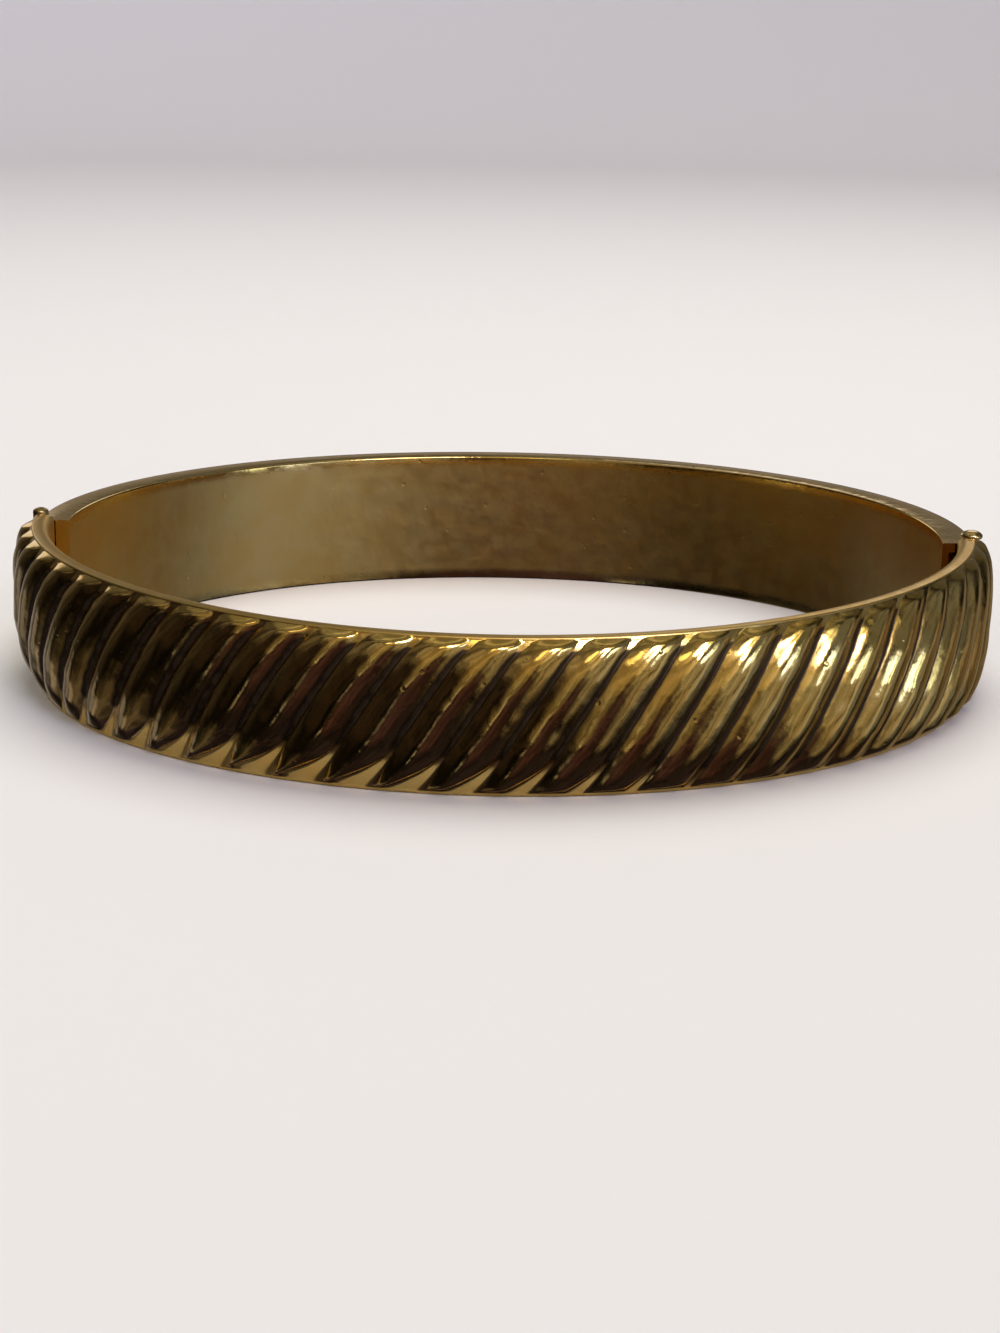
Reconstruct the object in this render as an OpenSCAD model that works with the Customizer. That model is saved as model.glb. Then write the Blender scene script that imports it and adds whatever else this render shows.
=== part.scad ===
/* [Bangle] */
// Widest size across the ribs, from the hinge side to the clasp side
band_w = 63; // [60:0.5:66]
// Depth across the ribs, front to back
band_d = 55.8; // [54:0.2:58]
// Height of the band at the middle of the front
front_h = 9.1; // [8.8:0.1:9.6]
// Extra height of the ribbed half at its two ends
end_rise = 0.85; // [0.4:0.05:1]
// Height of the plain half
rear_h = 9.4; // [9.2:0.1:9.6]

/* [Ribbed half] */
// How far the ribs stand out past the rims
dome = 1.3; // [1:0.1:1.6]
// Depth of the grooves between ribs at mid height
groove = 0.44; // [0.2:0.02:0.6]
// Distance from one rib to the next along the rim
pitch = 2.97; // [2.9:0.01:3.3]
// Sideways run of a groove from the lower rim to the upper one, if it were straight
lean = 4.4; // [3.6:0.1:4.8]
// Further sideways run that bends a groove over towards its top
bend = 0.9; // [0:0.1:1.2]
// Width of the rims
rim_t = 1.1; // [0.9:0.1:1.3]
// Rounding of the outer edge of the lower rim
foot_round = 0.3; // [0.2:0.05:0.35]
// Rounding of the inner edge of the upper rim
lip_round = 0.55; // [0.3:0.05:0.6]

/* [Plain half] */
// Width of the rims
rear_t = 2; // [1.9:0.1:2.3]
// How far the face is domed past the rims
rear_dome = 0.9; // [0.5:0.1:1.2]

/* [Hinge and clasp] */
// Outer radius of the hinge knuckles
knuckle_r = 0.65; // [0.6:0.05:0.7]
// Radius of the hinge pin
pin_r = 0.35; // [0.3:0.05:0.4]
// Running clearance of the pin in its bores, on the radius
pin_play = 0.03; // [0.02:0.01:0.05]
// Widest opening of the hinge, in degrees
open_deg = 45; // [30:1:46]
// Radius of the thumb knob on the clasp
knob_r = 0.7; // [0.5:0.05:0.75]
// How far the clasp's tongue stands out of the ribbed half
tongue_l = 5; // [4:0.1:5.4]

/* [Hidden] */
$fn = 48;

// How far cuts run on past the object, and past a face that they open
far = 60;
over = 1;

// The rims' outer edge is one ellipse. Angles run from the middle of the front, over +X.
rim_a = band_w / 2 - dome;
rim_b = band_d / 2 - dome;
function out_dir(t) = let (n = [rim_b * sin(t), -rim_a * cos(t)]) n / norm(n);
function on_rim(t, r) = [rim_a * sin(t), -rim_b * cos(t)] + r * out_dir(t);
function spot(t, r, z) = concat(on_rim(t, r), z);

// Rows of length along the rim from the middle of the front, and the angle there
arc_step = 2;
arc_end = 120;
function arc_len(t) = norm(on_rim(t + arc_step, 0) - on_rim(t, 0));
arcs = [for (row = [0, 0]; row[1] <= arc_end; row = [row[0] + arc_len(row[1]), row[1] + arc_step]) row];
function angle_at(s) = sign(s) * lookup(abs(s), arcs);

// The line of a groove, where w goes from 0 at the lower rim to 1 at the upper one
first_groove = -1.4;
flare = 0.6;
flare_h = 0.15;
function ease(w, reach) = max(0, 1 - w / reach);
function groove_line(w) = first_groove + lean * w + bend * w * w + flare * pow(ease(1 - w, flare_h), 2);

// A groove opens to a wedge at its foot, which is widest towards the hinge side and thins to a slit above.
// At its top it rounds off the upper right corner of the rib before it.
floor_w = 0.12;
wedge = 3;
wedge_at = -13;
wedge_ease = 0.12;
wedge_least = 0.3;
wedge_power = 2.1;
toe_w = 0.35;
wedge_h = 0.3;
slit = 0.1;
slit_h = 0.5;
shoulder = 0.6;
shoulder_h = 0.1;
shoulder_power = 1.5;
function wedge_size(s) = max(wedge_least, wedge - wedge_ease * abs(s - wedge_at));
function groove_w(w, s) = min(
    pitch - toe_w,
    floor_w + wedge_size(s) * (pow(ease(w, wedge_h), wedge_power) + slit * ease(w, slit_h))
        + shoulder * pow(ease(1 - w, shoulder_h), shoulder_power)
);

// Length along the rim at share c of the width of rib k
function rib_s(k, c, w) = k * pitch + groove_line(w) + c * (pitch - groove_w(w, k * pitch));

// The ribbed face is a low dome that carries round ridges, which fade at their tips
bulge_at = 0.43;
dome_power = 2.4;
ridge_power = 0.92;
function aside(w) = w < bulge_at ? 1 - w / bulge_at : (w - bulge_at) / (1 - bulge_at);

// The top of the face is squarer at the front, and most so at the very ends of the half.
// Towards the hinge the foot of the face tapers more, and the ridges fade out higher above it.
front_square = 1.4;
end_square = 3;
taper = 1;
function end_share(t) = pow(sin(t), 2);
function hinge_share(t) = pow(max(0, -sin(t)), 2);
function face_power(w, t) =
    w < bulge_at ? dome_power - taper * hinge_share(t)
        : dome_power + front_square * pow(cos(t), 8) + end_square * pow(sin(t), 8);
function base_out(w, t) = (dome - groove) * (1 - pow(aside(w), face_power(w, t)));
tip_h = 0.04;
toe_h = 0.05;
hinge_toe_h = 0.2;
function toe_reach(t) = toe_h + hinge_toe_h * hinge_share(t);
function fade(w, t) = 1 - pow(ease(w, toe_reach(t)), 2) - pow(ease(1 - w, tip_h), 2);
function ridge_out(c, w, t) = groove * fade(w, t) * pow(sin(180 * c), ridge_power);

// The ribs run on past both ends of the half, where they are cut off
rib_cols = [0, 0.12, 0.3, 0.5, 0.7, 0.88, 1];
rib_rows = [0, 0.04, 0.1, 0.19, 0.32, 0.5, 0.68, 0.83, 0.92, 0.97, 1];
first_rib = -17;
last_rib = 14;
edge_r = 0.12;
half_round = 1 - sin(45);
function band_h(t) = front_h + end_rise * end_share(t);

// One loop of the band's skin, which leans with the ribs outside and is upright inside
function column(k, c) =
    let (
        low_s = rib_s(k, c, 0), top_s = rib_s(k, c, 1),
        low = angle_at(low_s), top = angle_at(top_s), in = angle_at((low_s + top_s) / 2),
        h = band_h(top), in_h = band_h(in)
    )
    concat(
        [
            spot(in, -rim_t, edge_r), spot(in, edge_r - rim_t, 0),
            spot(low, -foot_round, 0), spot(low, -half_round * foot_round, half_round * foot_round)
        ],
        [
            for (w = rib_rows)
                let (t = angle_at(rib_s(k, c, w)), out = base_out(w, t) + ridge_out(c, w, t))
                spot(t, out, foot_round + w * (band_h(t) - foot_round - edge_r))
        ],
        [
            spot(top, -edge_r, h), spot(in, lip_round - rim_t, in_h),
            spot(in, half_round * lip_round - rim_t, in_h - half_round * lip_round),
            spot(in, -rim_t, in_h - lip_round)
        ]
    );

// One upright loop of the plain half's skin
rear_rows = [0, 0.08, 0.2, 0.35, 0.5, 0.65, 0.8, 0.92, 1];
rear_from = 79;
rear_to = 278;
rear_step = (rear_to - rear_from) / 50;
rear_power = 2.2;
function rear_out(w) = rear_dome * (1 - pow(abs(2 * w - 1), rear_power));
function rear_loop(t) = concat(
    [spot(t, -rear_t, edge_r), spot(t, edge_r - rear_t, 0), spot(t, -edge_r, 0)],
    [for (w = rear_rows) spot(t, rear_out(w), edge_r + w * (rear_h - 2 * edge_r))],
    [spot(t, -edge_r, rear_h), spot(t, edge_r - rear_t, rear_h), spot(t, -rear_t, rear_h - edge_r)]
);

// Joins loops of equal length into one closed skin
function cap(first, n, flip) = [
    for (j = [1 : n - 2]) flip ? [first, first + j + 1, first + j] : [first, first + j, first + j + 1]
];
module skin(loops) {
    n = len(loops[0]);
    last = len(loops) - 1;
    sides = [
        for (i = [0 : last - 1], j = [0 : n - 1])
            let (a = i * n + j, b = i * n + (j + 1) % n)
            each [[a, b, a + n], [b, b + n, a + n]]
    ];
    polyhedron([for (l = loops) each l], concat(sides, cap(0, n, true), cap(last * n, n, false)));
}

// The halves meet in two upright planes, at the widest place by the hinge and in front of it by the clasp
clasp_y = -3.2;
clasp_gap = 0.3;
hinge_x = 0.25 - rim_a;
hinge_y = -0.2;
hinge_gap = 0.2;

// Everything behind (side 1) or in front (side -1) of the two joint planes
module beyond(side) {
    clasp_edge = clasp_y - side * clasp_gap / 2;
    hinge_edge = hinge_y - side * hinge_gap / 2;
    translate([0, 0, -over]) linear_extrude(far) polygon([
        [far, side * far], [far, clasp_edge], [0, clasp_edge],
        [0, hinge_edge], [-far, hinge_edge], [-far, side * far]
    ]);
}

// Knuckles 0, 2 and 4 belong to the ribbed half, and 1 and 3 to the plain half
knuckle_l = 1.7;
knuckle_gap = 0.1;
knuckle_z = 0.4;
stack_top = knuckle_z + 5 * knuckle_l + 4 * knuckle_gap;
leaf_w = [-0.5, 0.6];
leaf_l = knuckle_r + 0.5;
module knuckle(k, side) {
    translate([hinge_x, hinge_y, knuckle_z + k * (knuckle_l + knuckle_gap)]) {
        cylinder(r = knuckle_r, h = knuckle_l);
        translate([leaf_w[0], side < 0 ? -leaf_l : 0, 0]) cube([leaf_w[1] - leaf_w[0], leaf_l, knuckle_l]);
    }
}

// Room for the knuckles, and a notch outside them for the opening swing
room_gap = 0.15;
notch_l = 3;
notch_spare = 3.5;
module hinge_room() {
    notch_y = notch_l * tan(open_deg / 2 + notch_spare);
    translate([hinge_x, hinge_y, -over]) {
        cylinder(r = knuckle_r + room_gap, h = far);
        linear_extrude(far) polygon([[0, 0], [-notch_l, notch_y], [-notch_l, -notch_y]]);
    }
}

module pin_bore() {
    translate([hinge_x, hinge_y, -over]) cylinder(r = pin_r + pin_play, h = far);
}

// The thumb knob's stem stands in a round channel across the clasp's joint, and the knob in a shallow seat
stem_x = rim_a - 0.65;
stem_r = 0.28;
channel_z = 6.8;
knob_x = rim_a - 0.45;
knob_sink = 0.16;
knob_z = front_h + end_rise - knob_sink;
seat_gap = 0.08;
module knob_channel() {
    translate([stem_x, clasp_y, channel_z]) cylinder(r = stem_r + room_gap, h = far);
    translate([knob_x, clasp_y, knob_z - seat_gap]) cylinder(r = knob_r + room_gap, h = far);
}

module ribbed_half() {
    color("goldenrod")
    difference() {
        union() {
            difference() {
                skin([for (k = [first_rib : last_rib], c = rib_cols) column(k, c)]);
                beyond(1);
                hinge_room();
                knob_channel();
            }
            for (k = [0, 2, 4]) knuckle(k, -1);
        }
        pin_bore();
    }
}

// The plain half is open at the clasp, where it is a thin-walled box
box_x = [rim_a - 1.8, rim_a - 0.45];
box_z = [0.6, rear_h - 0.6];
box_l = 5.5;
module clasp_box() {
    translate([box_x[0], clasp_y, box_z[0]])
        cube([box_x[1] - box_x[0], box_l, box_z[1] - box_z[0]]);
}

module plain_half() {
    color("gold")
    difference() {
        union() {
            difference() {
                skin([for (t = [rear_from : rear_step : rear_to + rear_step / 2]) rear_loop(t)]);
                beyond(-1);
                hinge_room();
                knob_channel();
                clasp_box();
            }
            for (k = [1, 3]) knuckle(k, 1);
        }
        pin_bore();
    }
}

// The tongue is a strip folded back on itself, with the knob on its free end
tongue_x = rim_a - 1.3;
tongue_z = [1.4, 7.8];
leaf_t = 0.25;
fold_r = 0.31;
tongue_y = clasp_y - clasp_gap / 2;
free_y = clasp_y + 0.1;
module tongue_outline() {
    fold_y = tongue_y + tongue_l - fold_r;
    difference() {
        union() {
            translate([tongue_x, tongue_y]) square([2 * fold_r, fold_y - tongue_y]);
            translate([tongue_x + fold_r, fold_y]) circle(r = fold_r);
        }
        translate([tongue_x + leaf_t, tongue_y - over])
            square([2 * (fold_r - leaf_t), fold_y - tongue_y + over]);
        translate([tongue_x + fold_r, fold_y]) circle(r = fold_r - leaf_t);
        translate([tongue_x + leaf_t, tongue_y - over]) square([2 * fold_r, free_y - tongue_y + over]);
    }
}

// A turned outline from rows of radius and height, and the rows of a domed top
module turned(rows) {
    rotate_extrude() polygon(concat([[0, rows[0][1]]], rows, [[0, rows[len(rows) - 1][1]]]));
}
function crown(r, z, h) = [for (a = [0 : 22.5 : 67.5]) [r * cos(a), z + h * sin(a)]];

stem_foot = channel_z + 0.2;
knob_side = 0.15;
knob_crown = 0.35;
module clasp_tongue() {
    color("khaki")
    union() {
        translate([0, 0, tongue_z[0]]) linear_extrude(tongue_z[1] - tongue_z[0]) tongue_outline();
        translate([stem_x, clasp_y, stem_foot]) cylinder(r = stem_r, h = knob_z + knob_side - stem_foot);
        translate([knob_x, clasp_y, 0])
            turned(concat([[knob_r, knob_z]], crown(knob_r, knob_z + knob_side, knob_crown)));
    }
}

// The pin's two heads rest on the ends of the knuckles
head_r = 0.5;
head_low = 0.25;
head_side = 0.75;
head_crown = 0.2;
module hinge_pin() {
    color("darkkhaki")
    translate([hinge_x, hinge_y, 0])
        turned(concat(
            [
                [head_r, knuckle_z - head_low], [head_r, knuckle_z], [pin_r, knuckle_z],
                [pin_r, stack_top], [head_r, stack_top]
            ],
            crown(head_r, stack_top + head_side, head_crown)
        ));
}

ribbed_half();
plain_half();
clasp_tongue();
hinge_pin();
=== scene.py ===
"""The looks of a hinged bangle: a ribbed front half, a plain rear half, a spring clasp and a hinge pin."""

import math

import bmesh
import bpy
import numpy as np
from mathutils import Matrix, Vector


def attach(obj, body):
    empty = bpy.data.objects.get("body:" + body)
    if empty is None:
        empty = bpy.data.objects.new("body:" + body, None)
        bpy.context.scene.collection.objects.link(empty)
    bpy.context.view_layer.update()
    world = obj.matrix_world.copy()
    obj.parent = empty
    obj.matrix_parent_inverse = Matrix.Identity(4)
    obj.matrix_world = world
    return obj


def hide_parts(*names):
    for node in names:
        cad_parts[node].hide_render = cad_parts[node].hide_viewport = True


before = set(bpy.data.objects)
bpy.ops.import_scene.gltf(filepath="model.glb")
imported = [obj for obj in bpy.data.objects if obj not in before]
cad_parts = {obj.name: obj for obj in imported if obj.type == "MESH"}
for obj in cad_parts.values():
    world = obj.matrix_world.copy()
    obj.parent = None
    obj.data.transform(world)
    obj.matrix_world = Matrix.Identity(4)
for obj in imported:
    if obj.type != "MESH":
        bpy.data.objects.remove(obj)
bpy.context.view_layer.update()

# Lengths below are in millimetres, and meshes are scaled to metres as they are made
MM = 0.001

# The rims' outer edge is one ellipse, with its half axes here
RIM_A = 30.2
RIM_B = 26.6
EDGE = 0.12
RIM_SAMPLES = np.radians(np.linspace(-130, 130, 2601))

# The ribbed half's face
FRONT_H = 9.1
END_RISE = 0.85
DOME = 1.3
DOME_POWER = 2.4
FRONT_SQUARE = 1.4
END_SQUARE = 3
SQUARE_FOCUS = 8
TAPER = 1
BULGE_AT = 0.43
RIM_T = 1.1
FOOT_ROUND = 0.3
LIP_ROUND = 0.55

# Its ribs and the grooves between them
FIRST_RIB = -17
LAST_RIB = 14
RIBS = LAST_RIB - FIRST_RIB + 1
PITCH = 2.97
PITCH_CHANCE = 0.05
GROOVE = 0.44
GROOVE_CHANCE = 0.05
RIB_POWER = 0.92
FIRST_GROOVE = -1.4
LEAN = 4.4
BEND = 0.9
FLARE = 0.6
FLARE_H = 0.15
FLOOR_W = 0.12
TOE_W = 0.35
TIP_H = 0.04
TOE_H = 0.05
HINGE_TOE_H = 0.2

# The wedge at a groove's foot, the slit above it, and the shoulder at its top
WEDGE = 3
WEDGE_AT = -13
WEDGE_EASE = 0.12
WEDGE_LEAST = 0.3
WEDGE_H = 0.3
WEDGE_POWER = 2.1
SLIT = 0.1
SLIT_H = 0.5
SHOULDER = 0.6
SHOULDER_H = 0.1
SHOULDER_POWER = 1.5

# The ribbed half's mesh: points across a rib, and rows up its face, by where they lie in a loop
ACROSS = 22
FLOOR_STEPS = 4
INNER_ROWS = 4
FOOT_ROWS = 6
FACE_ROWS = 64
TOP_ROWS = 4
LIP_ROWS = 7
WALL_ROWS = 7
END_CLOSER = 0.35
FACE_FROM = INNER_ROWS + FOOT_ROWS - 1
FACE_TO = FACE_FROM + FACE_ROWS

# The plain half
REAR_H = 9.4
REAR_T = 2.0
REAR_DOME = 0.9
REAR_POWER = 2.2
REAR_FROM = math.radians(79)
REAR_TO = math.radians(278)
REAR_COLUMNS = 260
REAR_ROWS = 40
REAR_WALL_ROWS = 12

# Waves of the surfaces, as their size, longest length and shortest length
LONG_WAVES = (0.012, 5, 1.6)
SHORT_WAVES = (0.005, 1.5, 0.7)
REAR_WAVES = (0.006, 9, 3)
WAVE_RISE = 8

# The hinge
HINGE = (0.25 - RIM_A, -0.2)
HINGE_GAP = 0.2
KNUCKLE_R = 0.65
KNUCKLE_L = 1.7
KNUCKLE_GAP = 0.1
KNUCKLE_Z = 0.4
KNUCKLE_SOFT = 0.08
KNUCKLES = 5
STACK_TOP = KNUCKLE_Z + KNUCKLES * KNUCKLE_L + (KNUCKLES - 1) * KNUCKLE_GAP
LEAF_X = (-0.5, 0.6)
LEAF_Y = (0.4, 1.15)
ROOM_GAP = 0.15
NOTCH_L = 3
NOTCH_HALF = math.radians(26)
PIN_R = 0.35
PIN_GAP = 0.03
PIN_HEAD_R = 0.5
PIN_HEAD_SIDE = 0.7
PIN_HEAD_DOME = 0.25
PIN_FOOT = 0.25
PIN_FOOT_SOFT = 0.06

# The clasp
CLASP_Y = -3.2
CLASP_GAP = 0.3
CHANNEL_Z = 6.8
STEM = (RIM_A - 0.65, CLASP_Y)
STEM_R = 0.28
STEM_FOOT = 0.2
KNOB = (RIM_A - 0.45, CLASP_Y)
KNOB_R = 0.7
KNOB_Z = FRONT_H + END_RISE - 0.16
KNOB_SIDE = 0.16
KNOB_DOME = 0.34
KNOB_EDGE = ((-0.1, 0), (-0.03, 0.04), (0, 0.1))
SEAT_GAP = 0.08
BOX_X = (RIM_A - 1.8, RIM_A - 0.45)
BOX_Z = (0.6, REAR_H - 0.6)
BOX_L = 5.5
SPRING_X = RIM_A - 1.3
SPRING_Z = (1.4, 7.8)
SPRING_L = 5
SPRING_T = 0.25
SPRING_FOLD = 0.31
SPRING_FREE = 0.1
SPRING_BEND = np.linspace(math.pi, 0, 17)

# A crown stops this short of its middle, as an angle
CROWN_OPEN = 0.05

# Cutters reach this far past everything
FAR = 60

# How dull the inside and the top rim are, from 0 to 1
INSIDE_SATIN = 0.6
RIM_SATIN = 0.55

# A groove's floor is satin where it is wide, below this share of the height, and carries painted shade
# where it is narrow
SATIN_BELOW = 0.6
NARROW = 0.4

# The painted shade by a groove, a dark film that stands in for the shade and dark reflections between
# ribs, keeps close to it on a rib's left flank. It spreads on the right one, by more towards the clasp.
SHADE_LEFT = 0.5
SHADE_RIGHT = 1.2
SHADE_MORE = 1.3
SHADE_RIBS = 7

# Every random number comes from here, so the order of the calls below counts
chance = np.random.default_rng(7)


# A point of the ellipse of the rims, by angle from the middle of the front
def rim(t, out=0.0):
    normal = np.stack([RIM_B * np.sin(t), -RIM_A * np.cos(t)], -1)
    normal /= np.linalg.norm(normal, axis=-1, keepdims=True)
    return np.stack([RIM_A * np.sin(t), -RIM_B * np.cos(t)], -1) + normal * np.asarray(out)[..., None]


def outward(t):
    return rim(t, 1) - rim(t, 0)


# Lengths along the ellipse from the middle of the front to each sampled angle
def rim_lengths():
    steps = np.linalg.norm(np.diff(rim(RIM_SAMPLES), axis=0), axis=-1)
    lengths = np.concatenate([[0], np.cumsum(steps)])
    return lengths - np.interp(0, RIM_SAMPLES, lengths)


RIM_LENGTHS = rim_lengths()


def angle_at(s):
    return np.interp(s, RIM_LENGTHS, RIM_SAMPLES)


def points(t, out, z):
    t, out, z = np.broadcast_arrays(t, out, z)
    return np.concatenate([rim(t, out), z[..., None]], -1)


# Slow waves of a hand-polished casting, as a sum of seeded plane waves
def ripple(places, size, longest, shortest, count=14):
    total = np.zeros(places.shape[:-1])
    for _ in range(count):
        way = chance.normal(size=3)
        way /= np.linalg.norm(way)
        wave = chance.uniform(shortest, longest)
        total += np.sin(places @ way * (2 * math.pi / wave) + chance.uniform(0, 2 * math.pi))
    return size * total / math.sqrt(count)


# The waves die out towards a face's lower and upper edges, where w is 0 and 1
def wave_share(w):
    return np.minimum(1, WAVE_RISE * np.minimum(w, 1 - w))


def face_out(thing):
    shape = bmesh.new()
    shape.from_mesh(thing.data)
    bmesh.ops.recalc_face_normals(shape, faces=shape.faces)
    shape.to_mesh(thing.data)
    shape.free()


def linked_object(name, mesh):
    thing = bpy.data.objects.new(name, mesh)
    bpy.context.scene.collection.objects.link(thing)
    face_out(thing)
    return thing


# A skin of loops, closed at both ends, as one mesh object that carries the named values at its points
def skin(name, loops, values):
    count, size = loops.shape[:2]
    i, j = np.meshgrid(np.arange(count - 1), np.arange(size), indexing="ij")
    k = (j + 1) % size
    quads = np.stack([i * size + j, i * size + k, (i + 1) * size + k, (i + 1) * size + j], -1)
    last = (count - 1) * size
    caps = [list(range(size))[::-1], list(range(last, last + size))]
    mesh = bpy.data.meshes.new(name)
    mesh.from_pydata((loops.reshape(-1, 3) * MM).tolist(), [], quads.reshape(-1, 4).tolist() + caps)
    mesh.validate()
    mesh.update()
    thing = linked_object(name, mesh)
    for label, numbers in values.items():
        attribute = thing.data.attributes.new(label, "FLOAT", "POINT")
        attribute.data.foreach_set("value", np.ascontiguousarray(numbers.reshape(-1), np.float32))
    return thing


# The side faces of a turned shape, between each ring of points and the next
def sides_between(rings, sides):
    faces = []
    for low in range(0, (rings - 1) * sides, sides):
        for j in range(sides):
            after = (j + 1) % sides
            faces.append([low + j, low + after, low + sides + after, low + sides + j])
    return faces


def turned_points(rows, at, sides):
    angles = np.arange(sides) * 2 * math.pi / sides
    return [[at[0] + r * math.cos(a), at[1] + r * math.sin(a), z] for r, z in rows for a in angles]


# A turned shape from rows of radius and height, as vertices and faces
def turned(rows, at, sides=48):
    last = (len(rows) - 1) * sides
    caps = [list(range(sides))[::-1], list(range(last, last + sides))]
    return turned_points(rows, at, sides), sides_between(len(rows), sides) + caps


# A turned ring, whose last row is its first
def ring(rows, at, sides=48):
    rings = len(rows) - 1
    last = (rings - 1) * sides
    faces = sides_between(rings, sides)
    faces += [[last + j, last + (j + 1) % sides, (j + 1) % sides, j] for j in range(sides)]
    return turned_points(rows[:-1], at, sides), faces


def prism(outline, low, high):
    n = len(outline)
    corners = [[x, y, z] for z in (low, high) for x, y in outline]
    faces = [[i, (i + 1) % n, n + (i + 1) % n, n + i] for i in range(n)]
    faces += [list(range(n))[::-1], list(range(n, 2 * n))]
    return corners, faces


def mesh_object(name, *parts):
    corners, faces = [], []
    for part_corners, part_faces in parts:
        faces += [[len(corners) + i for i in face] for face in part_faces]
        corners += part_corners
    mesh = bpy.data.meshes.new(name)
    mesh.from_pydata((np.array(corners) * MM).tolist(), [], faces)
    mesh.update()
    return linked_object(name, mesh)


def cut(thing, *cutters):
    for part in cutters:
        cutter = mesh_object("cutter", part)
        tool = thing.modifiers.new("cut", "BOOLEAN")
        tool.operation = "DIFFERENCE"
        tool.solver = "MANIFOLD"
        tool.object = cutter
        depsgraph = bpy.context.evaluated_depsgraph_get()
        result = bpy.data.meshes.new_from_object(thing.evaluated_get(depsgraph))
        thing.modifiers.remove(tool)
        thing.data = result
        bpy.data.objects.remove(cutter)


def join(name, *things):
    bpy.ops.object.select_all(action="DESELECT")
    for thing in things:
        thing.select_set(True)
    bpy.context.view_layer.objects.active = things[0]
    bpy.ops.object.join()
    things[0].name = name
    things[0].data.name = name
    return things[0]


def smooth(thing, degrees=35):
    thing.data.shade_smooth()
    thing.data.set_sharp_from_angle(angle=math.radians(degrees))


# Everything past the two joint planes, on one side of them
def beyond(side):
    clasp_edge = CLASP_Y - side * CLASP_GAP / 2
    hinge_edge = HINGE[1] - side * HINGE_GAP / 2
    right = [(FAR, side * FAR), (FAR, clasp_edge), (0, clasp_edge)]
    left = [(0, hinge_edge), (-FAR, hinge_edge), (-FAR, side * FAR)]
    return prism(right + left, -1, FAR)


def hinge_room():
    return turned([(KNUCKLE_R + ROOM_GAP, -1), (KNUCKLE_R + ROOM_GAP, FAR)], HINGE)


def hinge_notch():
    y = NOTCH_L * math.tan(NOTCH_HALF)
    return prism([HINGE, (HINGE[0] - NOTCH_L, HINGE[1] + y), (HINGE[0] - NOTCH_L, HINGE[1] - y)], -1, FAR)


def stem_channel():
    return turned([(STEM_R + ROOM_GAP, CHANNEL_Z), (STEM_R + ROOM_GAP, FAR)], STEM)


def knob_seat():
    return turned([(KNOB_R + ROOM_GAP, KNOB_Z - SEAT_GAP), (KNOB_R + ROOM_GAP, FAR)], KNOB)


def tongue_box():
    x = BOX_X
    y = (CLASP_Y, CLASP_Y + BOX_L)
    return prism([(x[0], y[0]), (x[1], y[0]), (x[1], y[1]), (x[0], y[1])], *BOX_Z)


# Rows of a short tube with softened ends
def tube_rows(low, high):
    bore = PIN_R + PIN_GAP
    soft = KNUCKLE_SOFT
    corner = 0.3 * soft
    foot = [(KNUCKLE_R - soft, low), (KNUCKLE_R - corner, low + corner), (KNUCKLE_R, low + soft)]
    head = [(KNUCKLE_R, high - soft), (KNUCKLE_R - corner, high - corner), (KNUCKLE_R - soft, high)]
    return [(bore, low)] + foot + head + [(bore, high), (bore, low)]


# The leaf that holds a knuckle to its half
def leaf(side, low, high):
    x = (HINGE[0] + LEAF_X[0], HINGE[0] + LEAF_X[1])
    y = (LEAF_Y[0] * side + HINGE[1], LEAF_Y[1] * side + HINGE[1])
    return prism([(x[0], y[0]), (x[1], y[0]), (x[1], y[1]), (x[0], y[1])], low, high)


def knuckles(which, side):
    parts = []
    for k in which:
        low = KNUCKLE_Z + k * (KNUCKLE_L + KNUCKLE_GAP)
        high = low + KNUCKLE_L
        parts.append(ring(tube_rows(low, high), HINGE))
        parts.append(leaf(side, low, high))
    return parts


# Quarter round from one offset and height to another, for the soft edges of the rims. It starts upright or
# level.
def soft_edge(out_from, z_from, out_to, z_to, upright_first, count=4):
    edge = []
    for a in np.linspace(0, math.pi / 2, count):
        if upright_first:
            out_at = out_to + (out_from - out_to) * math.cos(a)
            edge.append((out_at, z_from + (z_to - z_from) * math.sin(a)))
        else:
            out_at = out_from + (out_to - out_from) * math.sin(a)
            edge.append((out_at, z_to + (z_from - z_to) * math.cos(a)))
    return edge


def edge_rows(t, edge, base=0):
    return [points(t, out_at, base + z) for out_at, z in edge]


# A groove between ribs climbs to the right and bends over at its top, where w goes from 0 at the lower
# rim to 1 at the upper one
def groove_line(w):
    flare = np.maximum(0, 1 - (1 - w) / FLARE_H) ** 2
    return FIRST_GROOVE + LEAN * w + BEND * w ** 2 + FLARE * flare


# It opens to a wedge at its foot, which is widest left of the middle, and rounds off a rib's top right
# corner
def groove_width(w, s):
    size = max(WEDGE_LEAST, WEDGE - WEDGE_EASE * abs(s - WEDGE_AT))
    wedge = size * np.maximum(0, 1 - w / WEDGE_H) ** WEDGE_POWER
    slit = SLIT * size * np.maximum(0, 1 - w / SLIT_H)
    shoulder = SHOULDER * np.maximum(0, 1 - (1 - w) / SHOULDER_H) ** SHOULDER_POWER
    return np.minimum(PITCH - TOE_W, FLOOR_W + wedge + slit + shoulder)


def hinge_share(t):
    return np.maximum(0, -np.sin(t)) ** 2


def front_height(t):
    return FRONT_H + END_RISE * np.sin(t) ** 2


# The face is a low dome. Its top is squarer at the front and at the very ends, and its foot tapers towards
# the hinge.
def base_out(w, t):
    aside = np.where(w < BULGE_AT, 1 - w / BULGE_AT, (w - BULGE_AT) / (1 - BULGE_AT))
    low_power = DOME_POWER - TAPER * hinge_share(t)
    front = FRONT_SQUARE * np.cos(t) ** SQUARE_FOCUS
    top_power = DOME_POWER + front + END_SQUARE * np.sin(t) ** SQUARE_FOCUS
    return (DOME - GROOVE) * (1 - aside ** np.where(w < BULGE_AT, low_power, top_power))


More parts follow.
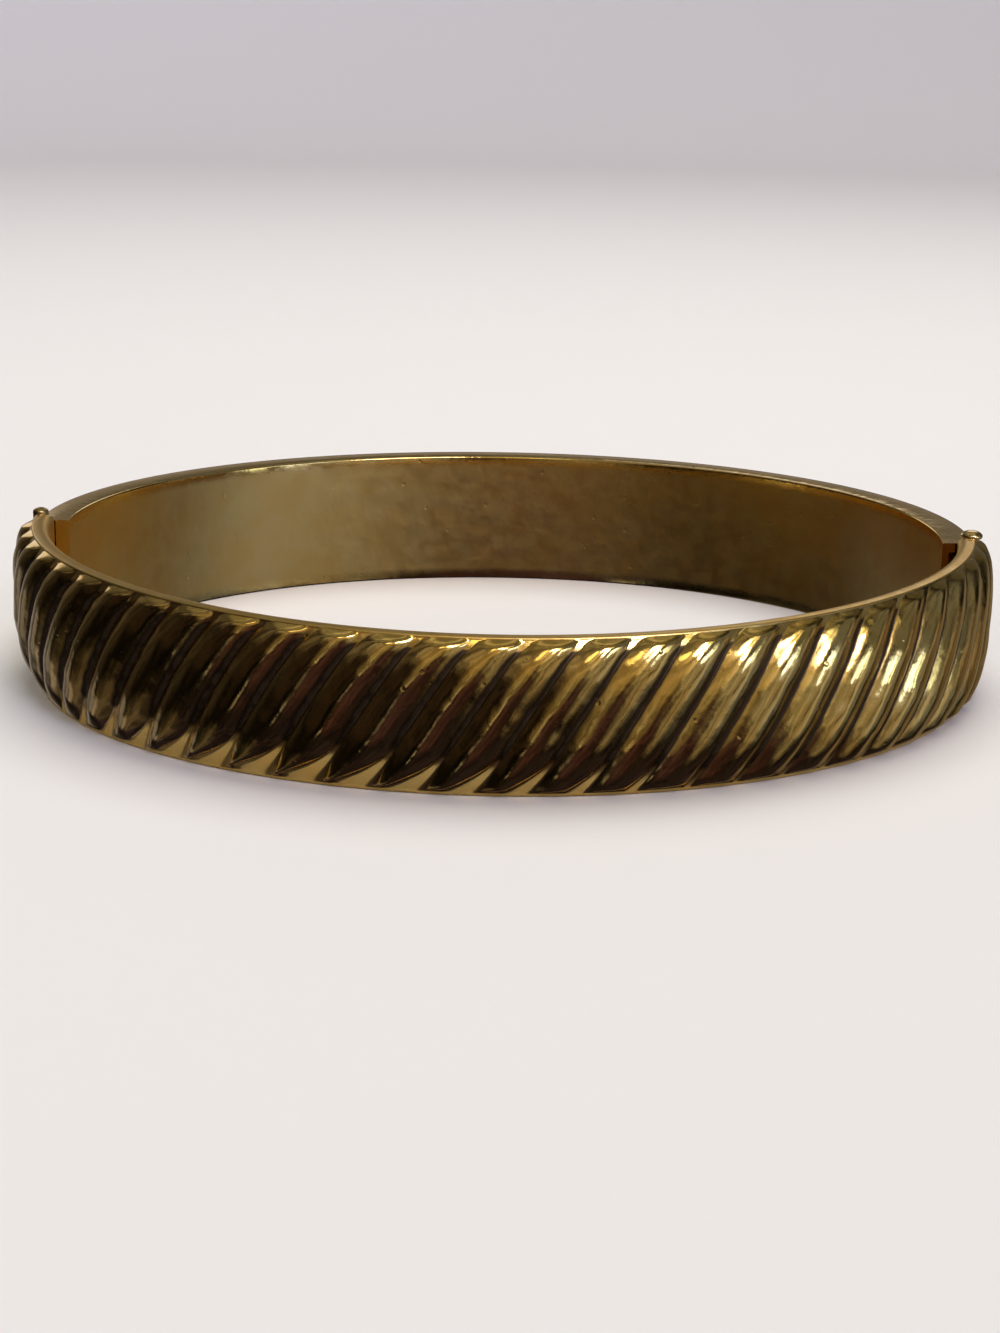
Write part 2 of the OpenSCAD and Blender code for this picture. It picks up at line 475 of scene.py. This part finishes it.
# A ridge fades out at its tip and at its foot, which is longer at the hinge
def ridge_fade(w, t):
    toe = TOE_H + HINGE_TOE_H * hinge_share(t)
    return 1 - np.maximum(0, 1 - w / toe) ** 2 - np.maximum(0, 1 - (1 - w) / TIP_H) ** 2


# Shares of the ribs' height, a little closer together at their feet and tips
def face_shares():
    closer = (1 - np.cos(np.linspace(0, math.pi, FACE_ROWS))) / 2
    return END_CLOSER * closer + (1 - END_CLOSER) * np.linspace(0, 1, FACE_ROWS)


# The lines that run up one rib and the groove on its right, closer together beside the grooves. Each has
# its places along the rim, the groove's width, the crest's share, 1 if it lies in the groove, and the
# share of painted shade, a dark film that stands in for the groove's shade.
def rib_lines(k, shift, shift_after, w):
    line = groove_line(w)
    left = k * PITCH + shift + line
    after = (k + 1) * PITCH + shift_after + line
    gap = groove_width(w, k * PITCH)
    right = after - gap
    spread = SHADE_RIGHT + SHADE_MORE * min(1, max(0, k / SHADE_RIBS))
    lines = []
    for c in (1 - np.cos(np.linspace(0, math.pi, ACROSS))) / 2:
        arc = math.sin(math.pi * c)
        # Painted shade: a dark film by the groove, narrow on the left flank and wider on the right one
        shade_share = 1 - arc ** (SHADE_LEFT if c < 0.5 else spread)
        lines.append((left + c * (right - left), gap, arc ** RIB_POWER, 0, shade_share))
    for c in np.arange(1, FLOOR_STEPS) / FLOOR_STEPS:
        lines.append((right + c * gap, gap, 0, 1, 1))
    return lines


# The ribbed face as its points, their places along the rim, and the shares of painted groove shade and of
# satin
def ribbed_face():
    w = face_shares()
    shift = chance.normal(0, PITCH_CHANCE, RIBS + 1)
    depth = GROOVE * (1 + chance.normal(0, GROOVE_CHANCE, RIBS + 1))
    lines = []
    depths = []
    for n in range(RIBS):
        added = rib_lines(FIRST_RIB + n, shift[n], shift[n + 1], w)
        lines += added
        depths += [depth[n]] * len(added)
    s, gap, crest, floor, shade_share = (np.array(column) for column in zip(*lines))
    t = angle_at(s)
    rise = ridge_fade(w, t) * crest[:, None]
    out = base_out(w, t) + rise * np.array(depths)[:, None]
    face = points(t, out, FOOT_ROUND + w * (front_height(t) - FOOT_ROUND - EDGE))
    wave = ripple(face, *LONG_WAVES) + ripple(face, *SHORT_WAVES)
    face[..., :2] += outward(t) * (wave * wave_share(w))[..., None]
    narrow = np.exp(-(gap / NARROW) ** 2)
    return face, s, shade_share[:, None] * narrow, (1 - narrow) * (w < SATIN_BELOW) * floor[:, None]


# Its loops go up the lower inner edge, the rounded foot, the face, the top edge and the lip, and down the
# inside
def ribbed_loops(face, s):
    low = angle_at(s[:, :1])
    top = angle_at(s[:, -1:])
    inner = angle_at((s[:, :1] + s[:, -1:]) / 2)
    inner_h = front_height(inner)
    rows = edge_rows(inner, soft_edge(-RIM_T, EDGE, EDGE - RIM_T, 0, True, INNER_ROWS))
    rows += edge_rows(low, soft_edge(-FOOT_ROUND, 0, 0, FOOT_ROUND, False, FOOT_ROWS)[:-1])
    rows.append(face)
    rows += edge_rows(top, soft_edge(0, -EDGE, -EDGE, 0, True, TOP_ROWS)[1:], front_height(top))
    rows += edge_rows(inner, soft_edge(LIP_ROUND - RIM_T, 0, -RIM_T, -LIP_ROUND, False, LIP_ROWS), inner_h)
    for share in np.linspace(0, 1, WALL_ROWS + 2)[1:-1]:
        rows.append(points(inner, -RIM_T, (inner_h - LIP_ROUND) * (1 - share) + EDGE * share))
    return np.concatenate(rows, axis=1)


def ribbed_half():
    face, s, shade_share, floor_satin = ribbed_face()
    loops = ribbed_loops(face, s)
    painted_shade = np.zeros(loops.shape[:2])
    # The painted shade of the grooves goes on the face's rows
    painted_shade[:, FACE_FROM:FACE_TO] = shade_share
    lip_middle = FACE_TO + TOP_ROWS - 1 + LIP_ROWS // 2
    satin = np.zeros(loops.shape[:2])
    satin[:, :INNER_ROWS - 1] = INSIDE_SATIN
    satin[:, INNER_ROWS:FACE_FROM] = 1
    satin[:, FACE_FROM:FACE_TO] = floor_satin
    satin[:, FACE_TO:lip_middle] = RIM_SATIN
    satin[:, lip_middle:] = INSIDE_SATIN
    body = skin("ribbed_front", loops, {"painted_shade": painted_shade, "satin": satin})
    cut(body, beyond(1), hinge_room(), hinge_notch(), stem_channel(), knob_seat())
    hinge = mesh_object("front_knuckles", *knuckles((0, 2, 4), -1))
    return join("ribbed_front", body, hinge)


def rippled(rows, t, share=1):
    rows[..., :2] += outward(t) * ripple(rows, *REAR_WAVES)[..., None] * share
    return rows


def plain_loops():
    t = np.linspace(REAR_FROM, REAR_TO, REAR_COLUMNS)[:, None]
    w = np.linspace(0, 1, REAR_ROWS)
    out = REAR_DOME * (1 - np.abs(2 * w - 1) ** REAR_POWER)
    face = points(t, out, EDGE + w * (REAR_H - 2 * EDGE))
    rippled(face, t, wave_share(w)[None, :, None])
    rows = edge_rows(t, soft_edge(-REAR_T, EDGE, EDGE - REAR_T, 0, True))
    rows += edge_rows(t, soft_edge(-EDGE, 0, 0, EDGE, False)[:-1])
    rows.append(face)
    rows += edge_rows(t, soft_edge(0, -EDGE, -EDGE, 0, True)[1:], REAR_H)
    rows += edge_rows(t, soft_edge(EDGE - REAR_T, 0, -REAR_T, -EDGE, False), REAR_H)
    for share in np.linspace(0, 1, REAR_WALL_ROWS + 2)[1:-1]:
        rows.append(rippled(points(t, -REAR_T, (REAR_H - EDGE) * (1 - share) + EDGE * share), t))
    return np.concatenate(rows, axis=1)


def plain_half():
    loops = plain_loops()
    satin = np.zeros(loops.shape[:2])
    satin[:, -REAR_WALL_ROWS:] = INSIDE_SATIN
    body = skin("plain_rear", loops, {"satin": satin})
    cut(body, beyond(-1), hinge_room(), hinge_notch(), stem_channel(), tongue_box())
    hinge = mesh_object("rear_knuckles", *knuckles((1, 3), 1))
    return join("plain_rear", body, hinge)


# A low round top from its widest row up, as rows of radius and height
def crown(radius, z, height, count):
    angles = np.linspace(0, math.pi / 2 - CROWN_OPEN, count)
    return [(radius * math.cos(a), z + height * math.sin(a)) for a in angles]


# The spring is a strip that runs into the box, folds over and comes back to its free end
def spring_outline():
    centre = SPRING_X + SPRING_FOLD
    base = CLASP_Y - CLASP_GAP / 2
    fold_y = base + SPRING_L - SPRING_FOLD
    free = CLASP_Y + SPRING_FREE
    fold = SPRING_FOLD
    within = SPRING_FOLD - SPRING_T
    outer = [(centre + fold * math.cos(a), fold_y + fold * math.sin(a)) for a in SPRING_BEND]
    inner = [(centre + within * math.cos(a), fold_y + within * math.sin(a)) for a in SPRING_BEND[::-1]]
    end_x = SPRING_X + 2 * SPRING_FOLD
    ends = [(end_x, free), (end_x - SPRING_T, free)]
    return [(SPRING_X, base)] + outer + ends + inner + [(SPRING_X + SPRING_T, base)]


# The round thumb knob stands on the spring's free end
def clasp():
    knob = [(KNOB_R + wider, KNOB_Z + higher) for wider, higher in KNOB_EDGE]
    knob += crown(KNOB_R, KNOB_Z + KNOB_SIDE, KNOB_DOME, 9)
    stem = [(STEM_R, CHANNEL_Z + STEM_FOOT), (STEM_R, KNOB_Z + KNOB_SIDE)]
    spring = prism(spring_outline(), *SPRING_Z)
    return mesh_object("clasp_spring", spring, turned(stem, STEM), turned(knob, KNOB))


def pin():
    head = PIN_HEAD_R
    foot = KNUCKLE_Z - PIN_FOOT
    rows = [(head - PIN_FOOT_SOFT, foot), (head, foot + PIN_FOOT_SOFT), (head, KNUCKLE_Z)]
    rows += [(PIN_R, KNUCKLE_Z), (PIN_R, STACK_TOP), (head, STACK_TOP)]
    rows += crown(head, STACK_TOP + PIN_HEAD_SIDE, PIN_HEAD_DOME, 8)
    return mesh_object("hinge_rivet", turned(rows, HINGE))


# Short calls for the nodes of one material or world. An input is a socket to link from, or a plain value.
class Tree:
    def __init__(self, owner):
        owner.use_nodes = True
        self.nodes = owner.node_tree.nodes
        self.links = owner.node_tree.links

    def feed(self, socket, value):
        if isinstance(value, bpy.types.NodeSocket):
            self.links.new(value, socket)
        else:
            socket.default_value = value

    # Inputs go by their names or numbers in the node
    def add(self, kind, inputs, operation=None):
        node = self.nodes.new(kind)
        if operation:
            node.operation = operation
        for key, value in inputs.items():
            self.feed(node.inputs[key], value)
        return node

    def maths(self, operation, *values):
        return self.add("ShaderNodeMath", dict(enumerate(values)), operation).outputs[0]

    def vector(self, operation, inputs):
        return self.add("ShaderNodeVectorMath", inputs, operation).outputs[0]

    # How nearly two directions agree, from -1 to 1
    def agreement(self, one, other):
        return self.add("ShaderNodeVectorMath", {0: one, 1: other}, "DOT_PRODUCT").outputs["Value"]

    def ramp(self, value, low, high, to_low, to_high, shape="SMOOTHSTEP"):
        ends = {"From Min": low, "From Max": high, "To Min": to_low, "To Max": to_high}
        node = self.add("ShaderNodeMapRange", {"Value": value, **ends})
        node.interpolation_type = shape
        return node.outputs["Result"]

    def noise(self, place, scale, detail, distortion=0.0):
        inputs = {"Vector": place, "Scale": scale, "Detail": detail, "Distortion": distortion}
        return self.add("ShaderNodeTexNoise", inputs).outputs["Fac"]

    # A mix of two colours, whose sockets share their names with the ones for numbers
    def mix(self, factor, *colours):
        node = self.add("ShaderNodeMix", {"Factor": factor})
        node.data_type = "RGBA"
        sockets = [socket for socket in node.inputs if socket.type == "RGBA"]
        for socket, colour in zip(sockets, colours):
            self.feed(socket, (*colour, 1) if isinstance(colour, tuple) else colour)
        return [socket for socket in node.outputs if socket.type == "RGBA"][0]

    # A value that the mesh carries at its points
    def carried(self, name):
        node = self.nodes.new("ShaderNodeAttribute")
        node.attribute_name = name
        return node.outputs["Fac"]


# The gold's patterns, as their scale per metre and their detail
CLOUDS = (420, 3)
SHADE_BREAKS = (1500, 2)
WORN = (900, 4)
DIMPLES = (1100, 1)
GRAIN = (2600, 2)
POLISH = (6000, 2)
POLISH_WAY = (1, 1, 0.15)
PITS = 700

# The heights of their relief, in metres
DIMPLE_RISE = 0.00002
GRAIN_RISE = 0.000006
POLISH_RISE = 0.0000016
PIT_DEPTH = 0.000012

# The clouds' share of the gold's colour, and how far the painted shade and the satin take its gloss
REDDER = (1.0, 0.93, 0.8)
DULLER = 0.45
SPECULAR = 0.2
WORN_LEAST = 0.75
WORN_MOST = 1.4

# Ramps, as the two values that they run between and what they make of them
CLOUD_EDGES = (0.35, 0.65, 0, 1)
PIT_EDGES = (0.04, 0.12, 0, 1)
SHADE_EDGES = (0.45, 0.95, 0, 1)
SHADE_BROKEN = (0.3, 0.7, 0.6, 1)
SHADE_DARKENS = (0, 0.5, 0, 1)
SHADE_METAL = (0.3, 0.9, 1, 0.85)
SATIN_METAL = (0.6, 1, 1, 0.65)


# Soft dimples, fine grain, polishing marks and a few small pits, as one normal
def relief(tree, place):
    brushed = tree.add("ShaderNodeMapping", {"Vector": place, "Scale": POLISH_WAY}).outputs["Vector"]
    pits = tree.add("ShaderNodeTexVoronoi", {"Vector": place, "Scale": PITS}).outputs["Distance"]
    layers = (
        (tree.noise(place, *DIMPLES), DIMPLE_RISE),
        (tree.noise(place, *GRAIN), GRAIN_RISE),
        (tree.noise(brushed, *POLISH), POLISH_RISE),
        (tree.ramp(pits, *PIT_EDGES), PIT_DEPTH)
    )
    inputs = {"Strength": 1}
    for height, distance in layers:
        bump = tree.add("ShaderNodeBump", {**inputs, "Height": height, "Distance": distance})
        inputs["Normal"] = bump.outputs["Normal"]
    return inputs["Normal"]


# Gold plate with redder clouds, and painted shade low in the grooves as a dark film in the shade colour
def gold(name, colour, shade_colour, rough):
    material = bpy.data.materials.new(name)
    tree = Tree(material)
    place = tree.nodes.new("ShaderNodeTexCoord").outputs["Object"]
    satin = tree.carried("satin")
    breaks = tree.ramp(tree.noise(place, *SHADE_BREAKS), *SHADE_BROKEN)
    shade_share = tree.maths("MULTIPLY", tree.ramp(tree.carried("painted_shade"), *SHADE_EDGES), breaks)
    clouds = tree.ramp(tree.noise(place, *CLOUDS), *CLOUD_EDGES)
    tone = tree.mix(clouds, colour, tuple(c * m for c, m in zip(colour, REDDER)))
    metal = tree.maths("MULTIPLY", tree.ramp(shade_share, *SHADE_METAL), tree.ramp(satin, *SATIN_METAL))
    worn = tree.ramp(tree.noise(place, *WORN), 0.3, 0.7, rough * WORN_LEAST, rough * WORN_MOST)
    dull = tree.maths("MAXIMUM", satin, shade_share)
    looks = {
        # The base colour darkens to the shade colour where the painted groove shade lies
        "Base Color": tree.mix(tree.ramp(shade_share, *SHADE_DARKENS), tone, shade_colour),
        "Metallic": metal,
        "Roughness": tree.maths("MULTIPLY_ADD", dull, DULLER, worn),
        "Specular IOR Level": SPECULAR,
        "Normal": relief(tree, place)
    }
    for socket, value in looks.items():
        tree.feed(tree.nodes["Principled BSDF"].inputs[socket], value)
    return material


def dress(piece, node, body, material):
    smooth(piece)
    piece.data.materials.clear()
    piece.data.materials.append(material)
    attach(piece, body)
    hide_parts(node)


# The pieces, with their golds
ribbed_gold = gold("ribbed_gold", (0.86, 0.59, 0.17), (0.08, 0.052, 0.026), 0.12)
plain_gold = gold("plain_gold", (0.87, 0.62, 0.2), (0.3, 0.2, 0.06), 0.11)
# The knob's gold is a lighter copy of the gold, painted light for its bright top
lit_knob_gold = gold("lit_knob_gold", (0.9, 0.7, 0.3), (0.4, 0.28, 0.1), 0.14)
# The pin's gold is a darker copy of the gold, painted shade for the dark hinge end
shaded_pin_gold = gold("shaded_pin_gold", (0.6, 0.45, 0.18), (0.2, 0.13, 0.05), 0.3)
dress(ribbed_half(), "ribbed_half", "front", ribbed_gold)
dress(plain_half(), "plain_half", "rear", plain_gold)
dress(clasp(), "clasp_tongue", "front", lit_knob_gold)
dress(pin(), "hinge_pin", "front", shaded_pin_gold)


# The camera stands where a fit to the rims in the photo puts it, in front of and above the bangle
CAM_BACK = 150
CAM_PITCH = 0.2763
CAM_YAW = 0.0098
CAM_ROLL = -0.0173
CAM_SIDE = -0.1
CAM_UP = -0.06
FOCAL_SHARE = 2269.7 / 1333
SENSOR = 36


def camera():
    data = bpy.data.cameras.new("camera")
    data.sensor_width = SENSOR
    data.lens = FOCAL_SHARE * SENSOR
    data.clip_start = 0.005
    data.clip_end = 20
    seen = bpy.data.objects.new("camera", data)
    bpy.context.scene.collection.objects.link(seen)
    ahead = Vector((0, math.cos(CAM_PITCH), -math.sin(CAM_PITCH)))
    up = Vector((0, math.sin(CAM_PITCH), math.cos(CAM_PITCH)))
    side = ahead.cross(up)
    eye = CAM_SIDE * side + CAM_UP * up - CAM_BACK * ahead
    tilted = Matrix((side, up, -ahead)).transposed().to_4x4()
    tilted.translation = eye * MM
    yaw = Matrix.Rotation(CAM_YAW, 4, "Z")
    roll = Matrix.Rotation(-CAM_ROLL, 4, "Y")
    seen.matrix_world = (roll @ yaw).inverted() @ tilted
    bpy.context.scene.camera = seen


# The floor's rings, the curve that turns it up and the wall's top are in metres
FLOOR_RINGS = (0.001, 0.15, 0.35)
FLOOR_R = 0.55
CURVE_R = 0.3
WALL_TOP = 0.6
FLOOR_SIDES = 96
FLOOR_COLOUR = (0.72, 0.69, 0.63, 1)
FLOOR_ROUGH = 0.85


def floor_rows():
    bend = np.linspace(0, math.pi / 2, 17)
    rows = [(r, 0) for r in FLOOR_RINGS]
    rows += [(FLOOR_R + CURVE_R * math.sin(a), CURVE_R - CURVE_R * math.cos(a)) for a in bend]
    rows.append((FLOOR_R + CURVE_R, WALL_TOP))
    return [(r / MM, z / MM) for r, z in rows]


# A pale floor whose far edge curves up into a wall all round, open at its top
def stage():
    corners, faces = turned(floor_rows(), (0, 0), FLOOR_SIDES)
    floor = mesh_object("floor", (corners, faces[:-1]))
    floor.data.shade_smooth()
    material = bpy.data.materials.new("pale_floor")
    tree = Tree(material)
    shader = tree.nodes["Principled BSDF"]
    shader.inputs["Roughness"].default_value = FLOOR_ROUGH
    shader.inputs["Base Color"].default_value = FLOOR_COLOUR
    floor.data.materials.append(material)
    floor.visible_glossy = False
    floor.visible_shadow = False


# A square lamp that faces the bangle, with its place and size in metres. It isn't mirrored.
def panel(name, place, size, power):
    data = bpy.data.lights.new(name, "AREA")
    data.shape = "RECTANGLE"
    data.size = size
    data.size_y = size
    data.energy = power
    lamp = bpy.data.objects.new(name, data)
    bpy.context.scene.collection.objects.link(lamp)
    lamp.location = place
    lamp.rotation_euler = Vector(place).to_track_quat("Z", "Y").to_euler()
    lamp.visible_camera = False
    lamp.visible_glossy = False


# The soft windows of the room that the metal mirrors, in degrees. Azimuth is from the camera's side, over
# +X, and past 90 degrees it is behind the bangle. A window fades from its inner angle to its outer one.
# The first two are lamps.
# Columns: azimuth, elevation, inner, outer, colour
WINDOWS = (
    (22, 46, 6, 9, (8, 8, 12)),
    (31, 31, 6, 9, (8, 8, 12)),
    (37, 43, 6, 14, (0.8, 0.8, 0.6)),
    (22, 36, 12, 26, (0.3, 0.26, 0.2)),
    (46, 11, 4, 6, (2, 2.6, 5)),
    (56, 8, 4, 6, (2, 2.6, 5)),
    (65, 4, 3, 5, (1.5, 2, 3)),
    (-10, 49, 3, 9, (1.8, 1.6, 1.1)),
    (4, 20, 7, 17, (0.12, 0.1, 0.07)),
    (27, 8, 8, 18, (0.26, 0.25, 0.26)),
    (50, -12, 14, 30, (0.17, 0.155, 0.16)),
    (76, -18, 8, 22, (0.12, 0.14, 0.22)),
    (77, 23, 15, 40, (0.1, 0.11, 0.15)),
    (98, -6, 4, 16, (0.13, 0.11, 0.12)),
    (-16, 14, 10, 22, (0.14, 0.12, 0.09)),
    (-14, 36, 12, 26, (0.14, 0.11, 0.08)),
    (-48, 47, 8, 20, (0.2, 0.18, 0.18)),
    (-85, 45, 8, 22, (0.06, 0.055, 0.06)),
    (-55, 14, 14, 32, (0.012, 0.008, 0.009)),
    (-33, -26, 1, 5, (0.2, 0.2, 0.25)),
    (-27, -13, 1, 5, (0.2, 0.2, 0.25)),
    (-20, -1, 1, 5, (0.24, 0.24, 0.28)),
    (-15, 11, 1, 5, (0.28, 0.27, 0.3)),
    (-120, 25, 20, 50, (0.02, 0.017, 0.018)),
    (-122, -22, 4, 12, (0.15, 0.16, 0.24)),
    (-112, -36, 4, 10, (0.14, 0.14, 0.22)),
    (-145, -18, 5, 14, (0.1, 0.1, 0.14)),
    (-90, -45, 12, 30, (0.055, 0.05, 0.05)),
    (0, -18, 10, 32, (0.04, 0.02, 0.035)),
    (130, -22, 12, 30, (0.13, 0.11, 0.09)),
    (180, 16, 30, 70, (0.08, 0.078, 0.07)),
    (166, 27, 6, 12, (1.0, 0.95, 1.05)),
    (205, 14, 6, 15, (0.8, 0.77, 0.8)),
    (183, -12, 12, 34, (0.16, 0.13, 0.1)),
    (180, 62, 14, 30, (0.12, 0.115, 0.1)),
    (0, -90, 30, 65, (0.012, 0.009, 0.02)),
    (0, 90, 15, 40, (0.2, 0.19, 0.17))
)
DIM = (0.004, 0.0035, 0.004)

# Patches break the room up, and calm down towards its back
FRONT = (0, -1, 0)
PATCHES = (5, 3, 0.8)
PATCH_EDGES = (0.38, 0.62, 0.45, 1.6)
BACK_CALM = (-0.8, -0.3, 0.2, 1)


def window(tree, way, azimuth, elevation, inner, outer, colour):
    a = math.radians(azimuth)
    e = math.radians(elevation)
    centre = (math.sin(a) * math.cos(e), -math.cos(a) * math.cos(e), math.sin(e))
    edges = (math.cos(math.radians(outer)), math.cos(math.radians(inner)))
    fade = tree.ramp(tree.agreement(way, centre), *edges, 0, 1)
    return tree.vector("SCALE", {0: colour, "Scale": fade})


# Lighter and darker patches, such as furniture and people make
def clutter(tree, way):
    patches = tree.ramp(tree.noise(way, *PATCHES), *PATCH_EDGES, "LINEAR")
    share = tree.ramp(tree.agreement(way, FRONT), *BACK_CALM)
    return tree.add("ShaderNodeMix", {"Factor": share, "A": 1, "B": patches}).outputs["Result"]


def room():
    world = bpy.data.worlds.new("room")
    bpy.context.scene.world = world
    tree = Tree(world)
    way = tree.vector("NORMALIZE", {0: tree.nodes.new("ShaderNodeTexCoord").outputs["Generated"]})
    light = DIM
    for row in WINDOWS:
        light = tree.vector("ADD", {0: window(tree, way, *row), 1: light})
    seen = tree.vector("SCALE", {0: light, "Scale": clutter(tree, way)})
    tree.feed(tree.nodes["Background"].inputs["Color"], seen)


camera()
stage()
panel("overhead", (0.05, 0.12, 0.45), 0.4, 1.9)
panel("front_fill", (-0.2, -0.4, 0.3), 0.3, 0.6)
room()
bpy.context.scene.view_settings.view_transform = "Standard"
